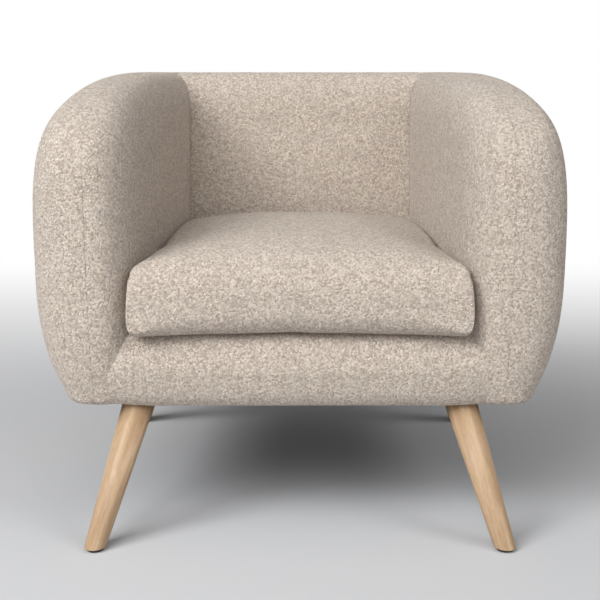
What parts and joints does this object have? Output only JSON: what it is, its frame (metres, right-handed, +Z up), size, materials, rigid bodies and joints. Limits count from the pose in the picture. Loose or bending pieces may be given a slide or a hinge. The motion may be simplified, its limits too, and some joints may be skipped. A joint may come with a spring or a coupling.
{
  "type": "tub armchair",
  "caption": "Barrel-sided upholstered tub armchair with a low wrap-round back, a loose zipped seat cushion and splayed, tapered wooden legs.",
  "frame": {"origin": "on the floor under the middle of the chair's width and depth", "axes": "+X to the right as seen from the front, the front faces -Y, +Z up"},
  "size_m": [0.7776, 0.7232, 0.692],
  "materials": {
    "upholstery_fabric": "nubby beige wool-mix weave, matt",
    "foam": "open-cell polyurethane foam",
    "frame_timber": "sawn hardwood and birch plywood, unfinished",
    "leg_oak": "light oak, matt lacquer",
    "spring_steel": "bright drawn wire and zinc plate",
    "glide_nylon": "dark nylon",
    "felt": "needled felt",
    "deck_cloth": "plain lining cloth",
    "dust_cloth": "spunbonded cloth",
    "zip_tape": "coil zip on woven tape",
    "zip_metal": "plated slider"
  },
  "bodies": {
    "chair": {"right_arm_padding": "foam", "right_arm_inside_cover": "upholstery_fabric", "right_arm_outside_cover": "upholstery_fabric", "left_arm_padding": "foam", "left_arm_inside_cover": "upholstery_fabric", "left_arm_outside_cover": "upholstery_fabric", "back_padding": "foam", "inside_back_cover": "upholstery_fabric", "outside_back_cover": "upholstery_fabric", "front_rail_cover": "upholstery_fabric", "front_rail_padding": "foam", "dust_cover": "dust_cloth", "front_left_leg_block": "frame_timber", "rear_left_leg_block": "frame_timber", "left_seat_rail": "frame_timber", "front_right_leg_block": "frame_timber", "rear_right_leg_block": "frame_timber", "right_seat_rail": "frame_timber", "front_seat_rail": "frame_timber", "back_seat_rail": "frame_timber", "front_left_arm_rib": "frame_timber", "front_right_arm_rib": "frame_timber", "rear_left_arm_rib": "frame_timber", "rear_right_arm_rib": "frame_timber", "left_arm_rail": "frame_timber", "right_arm_rail": "frame_timber", "top_back_rail": "frame_timber", "left_back_rib": "frame_timber", "right_back_rib": "frame_timber", "seat_spring_1": "spring_steel", "front_spring_clip_1": "spring_steel", "rear_spring_clip_1": "spring_steel", "seat_spring_2": "spring_steel", "front_spring_clip_2": "spring_steel", "rear_spring_clip_2": "spring_steel", "seat_spring_3": "spring_steel", "front_spring_clip_3": "spring_steel", "rear_spring_clip_3": "spring_steel", "seat_spring_4": "spring_steel", "front_spring_clip_4": "spring_steel", "rear_spring_clip_4": "spring_steel", "insulator_pad": "felt", "deck_cloth": "deck_cloth", "front_left_leg": "leg_oak", "front_left_hanger_bolt": "spring_steel", "front_left_glide": "glide_nylon", "front_right_leg": "leg_oak", "front_right_hanger_bolt": "spring_steel", "front_right_glide": "glide_nylon", "rear_left_leg": "leg_oak", "rear_left_hanger_bolt": "spring_steel", "rear_left_glide": "glide_nylon", "rear_right_leg": "leg_oak", "rear_right_hanger_bolt": "spring_steel", "rear_right_glide": "glide_nylon"},
    "cushion": {"cushion_cover": "upholstery_fabric", "cushion_foam": "foam", "cushion_zip": "zip_tape"},
    "zip_pull": {"zip_slider": "zip_metal"}
  },
  "joints": [
    {"name": "cushion_lift", "type": "slide", "parent": "chair", "child": "cushion", "axis": [0, 0, 1], "range_m": [0, 0.4]},
    {"name": "zip_run", "type": "slide", "parent": "cushion", "child": "zip_pull", "axis": [1, 0, 0], "range_m": [0, 0.28]}
  ]
}
